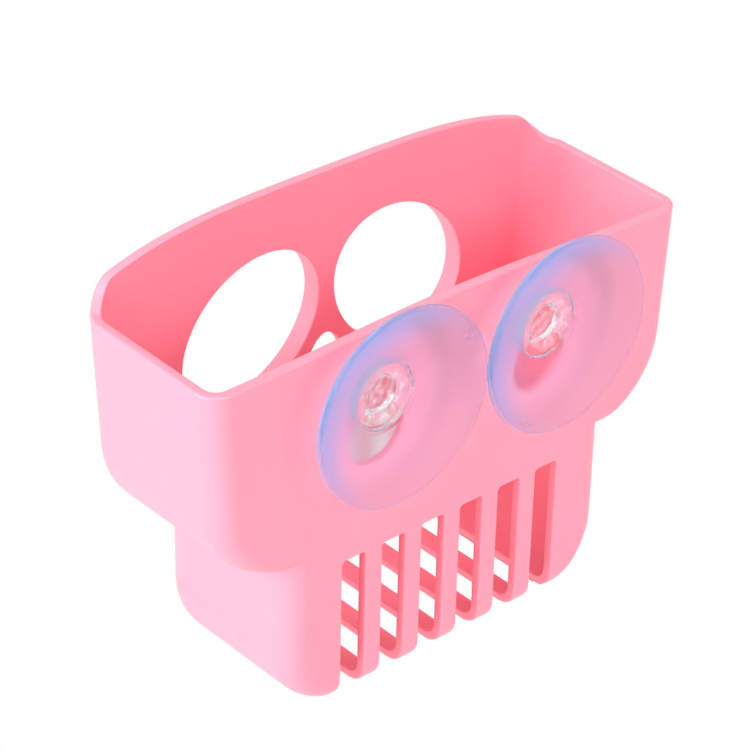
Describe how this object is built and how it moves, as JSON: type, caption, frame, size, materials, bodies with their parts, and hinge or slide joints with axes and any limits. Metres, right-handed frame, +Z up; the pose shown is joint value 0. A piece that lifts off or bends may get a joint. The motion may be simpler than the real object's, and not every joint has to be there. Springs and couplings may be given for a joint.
{
  "type": "dishcloth holder",
  "caption": "Open tub shaped like a skull, with eye openings and a slotted jaw for a damp dishcloth, hung on a wall by suction cups in keyholes.",
  "frame": {"origin": "middle of the flat base of the jaw, between the teeth slots", "axes": "+X towards the right-hand cup as seen by someone who faces the skull, +Y towards the wall, +Z up"},
  "size_m": [0.147, 0.0635, 0.1132],
  "materials": {
    "pink_plastic": "satin injection-moulded polypropylene, solid pink through the wall",
    "clear_soft_vinyl": "clear soft vinyl with a faint violet tint and a glossy moulded surface"
  },
  "bodies": {
    "holder": {"holder_body": "pink_plastic"},
    "left_cup": {"left_suction_cup": "clear_soft_vinyl"},
    "right_cup": {"right_suction_cup": "clear_soft_vinyl"}
  },
  "joints": [
    {"name": "left_cup_slide", "type": "slide", "parent": "holder", "child": "left_cup", "axis": [0, 0, 1], "range_m": [-0.0116, 0]},
    {"name": "right_cup_slide", "type": "slide", "parent": "holder", "child": "right_cup", "axis": [0, 0, 1], "range_m": [-0.0116, 0]}
  ]
}
